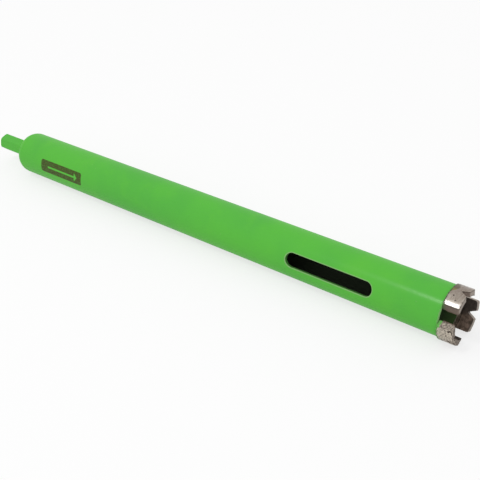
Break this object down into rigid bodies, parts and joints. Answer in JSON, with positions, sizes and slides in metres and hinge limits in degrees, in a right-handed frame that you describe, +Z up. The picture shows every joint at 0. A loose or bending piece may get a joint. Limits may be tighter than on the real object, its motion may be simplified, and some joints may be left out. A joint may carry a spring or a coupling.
{
  "type": "diamond core bit",
  "caption": "Long dry-drilling core bit: steel barrel with a core ejection slot, notched diamond segments on the rim and a hexagonal shank.",
  "frame": {"origin": "on the surface that the bit lies on, under the middle of its whole length and width", "axes": "+X along the bit from the hexagonal shank to the diamond crown, +Z up; the ejection slot faces -Y and a little up"},
  "size_m": [0.3408, 0.028, 0.027],
  "materials": {
    "green_paint": "smooth satin green paint over steel",
    "segment_metal": "sintered diamond matrix, grey-brown and grainy, ground bright on its outer face"
  },
  "bodies": {
    "root": {"barrel": "green_paint", "shank": "green_paint", "segment_1": "segment_metal", "segment_2": "segment_metal", "segment_3": "segment_metal"}
  },
  "joints": []
}
